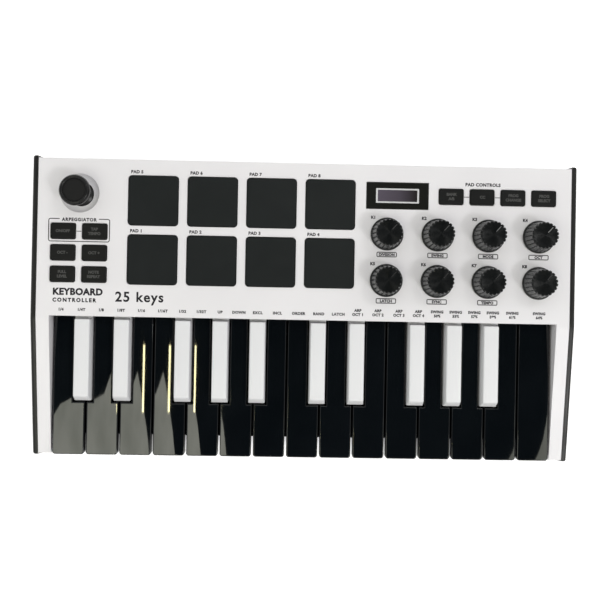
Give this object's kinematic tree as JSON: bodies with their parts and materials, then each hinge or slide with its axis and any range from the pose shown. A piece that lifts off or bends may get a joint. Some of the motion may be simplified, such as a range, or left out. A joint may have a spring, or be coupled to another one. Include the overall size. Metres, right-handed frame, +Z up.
{
  "type": "midi keyboard",
  "caption": "Desktop keyboard controller with black naturals, white sharps, pads, knobs, buttons, a display and a small joystick in a white case with black ends.",
  "frame": {"origin": "centre of the outline at the bottom of the feet, on the table", "axes": "+X to the player's right along the keys, +Y to the back, +Z up"},
  "size_m": [0.318, 0.177, 0.044],
  "materials": {
    "white_shell": "satin white moulded plastic",
    "black_shell": "black moulded plastic with a soft sheen",
    "natural_key": "polished black plastic",
    "sharp_key": "matt white plastic",
    "pad_rubber": "dark grey silicone rubber",
    "knob_plastic": "dark grey plastic with a spun top",
    "button_plastic": "dark grey satin plastic",
    "display_plastic": "black glossy window",
    "joystick_plastic": "black satin plastic",
    "circuit_board": "green laminate with dark components",
    "foot_rubber": "black rubber"
  },
  "bodies": {
    "case": {"top_housing": "white_shell", "bottom_housing": "black_shell", "end_caps": "black_shell", "display_window": "display_plastic", "circuit_boards": "circuit_board", "key_chassis": "black_shell", "feet_and_screws": "foot_rubber"},
    "key_c3": {"key_c3": "natural_key"},
    "key_c_sharp3": {"key_c_sharp3": "sharp_key"},
    "key_d3": {"key_d3": "natural_key"},
    "key_d_sharp3": {"key_d_sharp3": "sharp_key"},
    "key_e3": {"key_e3": "natural_key"},
    "key_f3": {"key_f3": "natural_key"},
    "key_f_sharp3": {"key_f_sharp3": "sharp_key"},
    "key_g3": {"key_g3": "natural_key"},
    "key_g_sharp3": {"key_g_sharp3": "sharp_key"},
    "key_a3": {"key_a3": "natural_key"},
    "key_a_sharp3": {"key_a_sharp3": "sharp_key"},
    "key_b3": {"key_b3": "natural_key"},
    "key_c4": {"key_c4": "natural_key"},
    "key_c_sharp4": {"key_c_sharp4": "sharp_key"},
    "key_d4": {"key_d4": "natural_key"},
    "key_d_sharp4": {"key_d_sharp4": "sharp_key"},
    "key_e4": {"key_e4": "natural_key"},
    "key_f4": {"key_f4": "natural_key"},
    "key_f_sharp4": {"key_f_sharp4": "sharp_key"},
    "key_g4": {"key_g4": "natural_key"},
    "key_g_sharp4": {"key_g_sharp4": "sharp_key"},
    "key_a4": {"key_a4": "natural_key"},
    "key_a_sharp4": {"key_a_sharp4": "sharp_key"},
    "key_b4": {"key_b4": "natural_key"},
    "key_c5": {"key_c5": "natural_key"},
    "pad_1": {"pad_1": "pad_rubber"},
    "pad_2": {"pad_2": "pad_rubber"},
    "pad_3": {"pad_3": "pad_rubber"},
    "pad_4": {"pad_4": "pad_rubber"},
    "pad_5": {"pad_5": "pad_rubber"},
    "pad_6": {"pad_6": "pad_rubber"},
    "pad_7": {"pad_7": "pad_rubber"},
    "pad_8": {"pad_8": "pad_rubber"},
    "knob_1": {"knob_1": "knob_plastic"},
    "knob_2": {"knob_2": "knob_plastic"},
    "knob_3": {"knob_3": "knob_plastic"},
    "knob_4": {"knob_4": "knob_plastic"},
    "knob_5": {"knob_5": "knob_plastic"},
    "knob_6": {"knob_6": "knob_plastic"},
    "knob_7": {"knob_7": "knob_plastic"},
    "knob_8": {"knob_8": "knob_plastic"},
    "button_arpeggiator": {"button_arpeggiator": "button_plastic"},
    "button_tap_tempo": {"button_tap_tempo": "button_plastic"},
    "button_octave_down": {"button_octave_down": "button_plastic"},
    "button_octave_up": {"button_octave_up": "button_plastic"},
    "button_full_level": {"button_full_level": "button_plastic"},
    "button_note_repeat": {"button_note_repeat": "button_plastic"},
    "button_bank_a_b": {"button_bank_a_b": "button_plastic"},
    "button_control_change": {"button_control_change": "button_plastic"},
    "button_program_change": {"button_program_change": "button_plastic"},
    "button_program_select": {"button_program_select": "button_plastic"},
    "joystick_gimbal": {"joystick_gimbal": "joystick_plastic"},
    "joystick": {"joystick": "joystick_plastic"}
  },
  "joints": [
    {"name": "key_c3_press", "type": "hinge", "parent": "case", "child": "key_c3", "pos_m": [-0.14108, 0.003, 0.016], "axis": [1, 0, 0], "range_deg": [0, 2.9], "stiffness_Nm_per_rad": 0.29, "springref_deg": -8.31},
    {"name": "key_c_sharp3_press", "type": "hinge", "parent": "case", "child": "key_c_sharp3", "pos_m": [-0.12932, 0.003, 0.016], "axis": [1, 0, 0], "range_deg": [0, 2.9], "stiffness_Nm_per_rad": 0.29, "springref_deg": -8.31},
    {"name": "key_d3_press", "type": "hinge", "parent": "case", "child": "key_d3", "pos_m": [-0.1179, 0.003, 0.016], "axis": [1, 0, 0], "range_deg": [0, 2.9], "stiffness_Nm_per_rad": 0.29, "springref_deg": -8.31},
    {"name": "key_d_sharp3_press", "type": "hinge", "parent": "case", "child": "key_d_sharp3", "pos_m": [-0.10648, 0.003, 0.016], "axis": [1, 0, 0], "range_deg": [0, 2.9], "stiffness_Nm_per_rad": 0.29, "springref_deg": -8.31},
    {"name": "key_e3_press", "type": "hinge", "parent": "case", "child": "key_e3", "pos_m": [-0.09473, 0.003, 0.016], "axis": [1, 0, 0], "range_deg": [0, 2.9], "stiffness_Nm_per_rad": 0.29, "springref_deg": -8.31},
    {"name": "key_f3_press", "type": "hinge", "parent": "case", "child": "key_f3", "pos_m": [-0.08242, 0.003, 0.016], "axis": [1, 0, 0], "range_deg": [0, 2.9], "stiffness_Nm_per_rad": 0.29, "springref_deg": -8.31},
    {"name": "key_f_sharp3_press", "type": "hinge", "parent": "case", "child": "key_f_sharp3", "pos_m": [-0.07097, 0.003, 0.016], "axis": [1, 0, 0], "range_deg": [0, 2.9], "stiffness_Nm_per_rad": 0.29, "springref_deg": -8.31},
    {"name": "key_g3_press", "type": "hinge", "parent": "case", "child": "key_g3", "pos_m": [-0.06005, 0.003, 0.016], "axis": [1, 0, 0], "range_deg": [0, 2.9], "stiffness_Nm_per_rad": 0.29, "springref_deg": -8.31},
    {"name": "key_g_sharp3_press", "type": "hinge", "parent": "case", "child": "key_g_sharp3", "pos_m": [-0.04913, 0.003, 0.016], "axis": [1, 0, 0], "range_deg": [0, 2.9], "stiffness_Nm_per_rad": 0.29, "springref_deg": -8.31},
    {"name": "key_a3_press", "type": "hinge", "parent": "case", "child": "key_a3", "pos_m": [-0.0382, 0.003, 0.016], "axis": [1, 0, 0], "range_deg": [0, 2.9], "stiffness_Nm_per_rad": 0.29, "springref_deg": -8.31},
    {"name": "key_a_sharp3_press", "type": "hinge", "parent": "case", "child": "key_a_sharp3", "pos_m": [-0.02728, 0.003, 0.016], "axis": [1, 0, 0], "range_deg": [0, 2.9], "stiffness_Nm_per_rad": 0.29, "springref_deg": -8.31},
    {"name": "key_b3_press", "type": "hinge", "parent": "case", "child": "key_b3", "pos_m": [-0.01582, 0.003, 0.016], "axis": [1, 0, 0], "range_deg": [0, 2.9], "stiffness_Nm_per_rad": 0.29, "springref_deg": -8.31},
    {"name": "key_c4_press", "type": "hinge", "parent": "case", "child": "key_c4", "pos_m": [-0.00352, 0.003, 0.016], "axis": [1, 0, 0], "range_deg": [0, 2.9], "stiffness_Nm_per_rad": 0.29, "springref_deg": -8.31},
    {"name": "key_c_sharp4_press", "type": "hinge", "parent": "case", "child": "key_c_sharp4", "pos_m": [0.00822, 0.003, 0.016], "axis": [1, 0, 0], "range_deg": [0, 2.9], "stiffness_Nm_per_rad": 0.29, "springref_deg": -8.31},
    {"name": "key_d4_press", "type": "hinge", "parent": "case", "child": "key_d4", "pos_m": [0.01965, 0.003, 0.016], "axis": [1, 0, 0], "range_deg": [0, 2.9], "stiffness_Nm_per_rad": 0.29, "springref_deg": -8.31},
    {"name": "key_d_sharp4_press", "type": "hinge", "parent": "case", "child": "key_d_sharp4", "pos_m": [0.03107, 0.003, 0.016], "axis": [1, 0, 0], "range_deg": [0, 2.9], "stiffness_Nm_per_rad": 0.29, "springref_deg": -8.31},
    {"name": "key_e4_press", "type": "hinge", "parent": "case", "child": "key_e4", "pos_m": [0.04283, 0.003, 0.016], "axis": [1, 0, 0], "range_deg": [0, 2.9], "stiffness_Nm_per_rad": 0.29, "springref_deg": -8.31},
    {"name": "key_f4_press", "type": "hinge", "parent": "case", "child": "key_f4", "pos_m": [0.05513, 0.003, 0.016], "axis": [1, 0, 0], "range_deg": [0, 2.9], "stiffness_Nm_per_rad": 0.29, "springref_deg": -8.31},
    {"name": "key_f_sharp4_press", "type": "hinge", "parent": "case", "child": "key_f_sharp4", "pos_m": [0.06657, 0.003, 0.016], "axis": [1, 0, 0], "range_deg": [0, 2.9], "stiffness_Nm_per_rad": 0.29, "springref_deg": -8.31},
    {"name": "key_g4_press", "type": "hinge", "parent": "case", "child": "key_g4", "pos_m": [0.0775, 0.003, 0.016], "axis": [1, 0, 0], "range_deg": [0, 2.9], "stiffness_Nm_per_rad": 0.29, "springref_deg": -8.31},
    {"name": "key_g_sharp4_press", "type": "hinge", "parent": "case", "child": "key_g_sharp4", "pos_m": [0.08843, 0.003, 0.016], "axis": [1, 0, 0], "range_deg": [0, 2.9], "stiffness_Nm_per_rad": 0.29, "springref_deg": -8.31},
    {"name": "key_a4_press", "type": "hinge", "parent": "case", "child": "key_a4", "pos_m": [0.09935, 0.003, 0.016], "axis": [1, 0, 0], "range_deg": [0, 2.9], "stiffness_Nm_per_rad": 0.29, "springref_deg": -8.31},
    {"name": "key_a_sharp4_press", "type": "hinge", "parent": "case", "child": "key_a_sharp4", "pos_m": [0.11027, 0.003, 0.016], "axis": [1, 0, 0], "range_deg": [0, 2.9], "stiffness_Nm_per_rad": 0.29, "springref_deg": -8.31},
    {"name": "key_b4_press", "type": "hinge", "parent": "case", "child": "key_b4", "pos_m": [0.12172, 0.003, 0.016], "axis": [1, 0, 0], "range_deg": [0, 2.9], "stiffness_Nm_per_rad": 0.29, "springref_deg": -8.31},
    {"name": "key_c5_press", "type": "hinge", "parent": "case", "child": "key_c5", "pos_m": [0.13755, 0.003, 0.016], "axis": [1, 0, 0], "range_deg": [0, 2.9], "stiffness_Nm_per_rad": 0.29, "springref_deg": -8.31},
    {"name": "pad_1_press", "type": "slide", "parent": "case", "child": "pad_1", "axis": [0, 0, -1], "range_m": [0, 0.0008], "stiffness_N_per_m": 1500, "springref_m": -0.001},
    {"name": "pad_2_press", "type": "slide", "parent": "case", "child": "pad_2", "axis": [0, 0, -1], "range_m": [0, 0.0008], "stiffness_N_per_m": 1500, "springref_m": -0.001},
    {"name": "pad_3_press", "type": "slide", "parent": "case", "child": "pad_3", "axis": [0, 0, -1], "range_m": [0, 0.0008], "stiffness_N_per_m": 1500, "springref_m": -0.001},
    {"name": "pad_4_press", "type": "slide", "parent": "case", "child": "pad_4", "axis": [0, 0, -1], "range_m": [0, 0.0008], "stiffness_N_per_m": 1500, "springref_m": -0.001},
    {"name": "pad_5_press", "type": "slide", "parent": "case", "child": "pad_5", "axis": [0, 0, -1], "range_m": [0, 0.0008], "stiffness_N_per_m": 1500, "springref_m": -0.001},
    {"name": "pad_6_press", "type": "slide", "parent": "case", "child": "pad_6", "axis": [0, 0, -1], "range_m": [0, 0.0008], "stiffness_N_per_m": 1500, "springref_m": -0.001},
    {"name": "pad_7_press", "type": "slide", "parent": "case", "child": "pad_7", "axis": [0, 0, -1], "range_m": [0, 0.0008], "stiffness_N_per_m": 1500, "springref_m": -0.001},
    {"name": "pad_8_press", "type": "slide", "parent": "case", "child": "pad_8", "axis": [0, 0, -1], "range_m": [0, 0.0008], "stiffness_N_per_m": 1500, "springref_m": -0.001},
    {"name": "knob_1_turn", "type": "hinge", "parent": "case", "child": "knob_1", "pos_m": [0.0472, 0.04575, 0.03], "axis": [0, 0, 1], "continuous": true},
    {"name": "knob_2_turn", "type": "hinge", "parent": "case", "child": "knob_2", "pos_m": [0.07696, 0.04575, 0.03], "axis": [0, 0, 1], "continuous": true},
    {"name": "knob_3_turn", "type": "hinge", "parent": "case", "child": "knob_3", "pos_m": [0.10672, 0.04575, 0.03], "axis": [0, 0, 1], "continuous": true},
    {"name": "knob_4_turn", "type": "hinge", "parent": "case", "child": "knob_4", "pos_m": [0.13648, 0.04575, 0.03], "axis": [0, 0, 1], "continuous": true},
    {"name": "knob_5_turn", "type": "hinge", "parent": "case", "child": "knob_5", "pos_m": [0.0472, 0.01865, 0.03], "axis": [0, 0, 1], "continuous": true},
    {"name": "knob_6_turn", "type": "hinge", "parent": "case", "child": "knob_6", "pos_m": [0.07696, 0.01865, 0.03], "axis": [0, 0, 1], "continuous": true},
    {"name": "knob_7_turn", "type": "hinge", "parent": "case", "child": "knob_7", "pos_m": [0.10672, 0.01865, 0.03], "axis": [0, 0, 1], "continuous": true},
    {"name": "knob_8_turn", "type": "hinge", "parent": "case", "child": "knob_8", "pos_m": [0.13648, 0.01865, 0.03], "axis": [0, 0, 1], "continuous": true},
    {"name": "button_arpeggiator_press", "type": "slide", "parent": "case", "child": "button_arpeggiator", "axis": [0, 0, -1], "range_m": [0, 0.0005], "stiffness_N_per_m": 1500, "springref_m": -0.0008},
    {"name": "button_tap_tempo_press", "type": "slide", "parent": "case", "child": "button_tap_tempo", "axis": [0, 0, -1], "range_m": [0, 0.0005], "stiffness_N_per_m": 1500, "springref_m": -0.0008},
    {"name": "button_octave_down_press", "type": "slide", "parent": "case", "child": "button_octave_down", "axis": [0, 0, -1], "range_m": [0, 0.0005], "stiffness_N_per_m": 1500, "springref_m": -0.0008},
    {"name": "button_octave_up_press", "type": "slide", "parent": "case", "child": "button_octave_up", "axis": [0, 0, -1], "range_m": [0, 0.0005], "stiffness_N_per_m": 1500, "springref_m": -0.0008},
    {"name": "button_full_level_press", "type": "slide", "parent": "case", "child": "button_full_level", "axis": [0, 0, -1], "range_m": [0, 0.0005], "stiffness_N_per_m": 1500, "springref_m": -0.0008},
    {"name": "button_note_repeat_press", "type": "slide", "parent": "case", "child": "button_note_repeat", "axis": [0, 0, -1], "range_m": [0, 0.0005], "stiffness_N_per_m": 1500, "springref_m": -0.0008},
    {"name": "button_bank_a_b_press", "type": "slide", "parent": "case", "child": "button_bank_a_b", "axis": [0, 0, -1], "range_m": [0, 0.0005], "stiffness_N_per_m": 1500, "springref_m": -0.0008},
    {"name": "button_control_change_press", "type": "slide", "parent": "case", "child": "button_control_change", "axis": [0, 0, -1], "range_m": [0, 0.0005], "stiffness_N_per_m": 1500, "springref_m": -0.0008},
    {"name": "button_program_change_press", "type": "slide", "parent": "case", "child": "button_program_change", "axis": [0, 0, -1], "range_m": [0, 0.0005], "stiffness_N_per_m": 1500, "springref_m": -0.0008},
    {"name": "button_program_select_press", "type": "slide", "parent": "case", "child": "button_program_select", "axis": [0, 0, -1], "range_m": [0, 0.0005], "stiffness_N_per_m": 1500, "springref_m": -0.0008},
    {"name": "joystick_pitch", "type": "hinge", "parent": "case", "child": "joystick_gimbal", "pos_m": [-0.1315, 0.066, 0.015], "axis": [1, 0, 0], "range_deg": [-15, 15], "stiffness_Nm_per_rad": 0.05},
    {"name": "joystick_roll", "type": "hinge", "parent": "joystick_gimbal", "child": "joystick", "pos_m": [-0.1315, 0.066, 0.015], "axis": [0, 1, 0], "range_deg": [-15, 15], "stiffness_Nm_per_rad": 0.05}
  ]
}
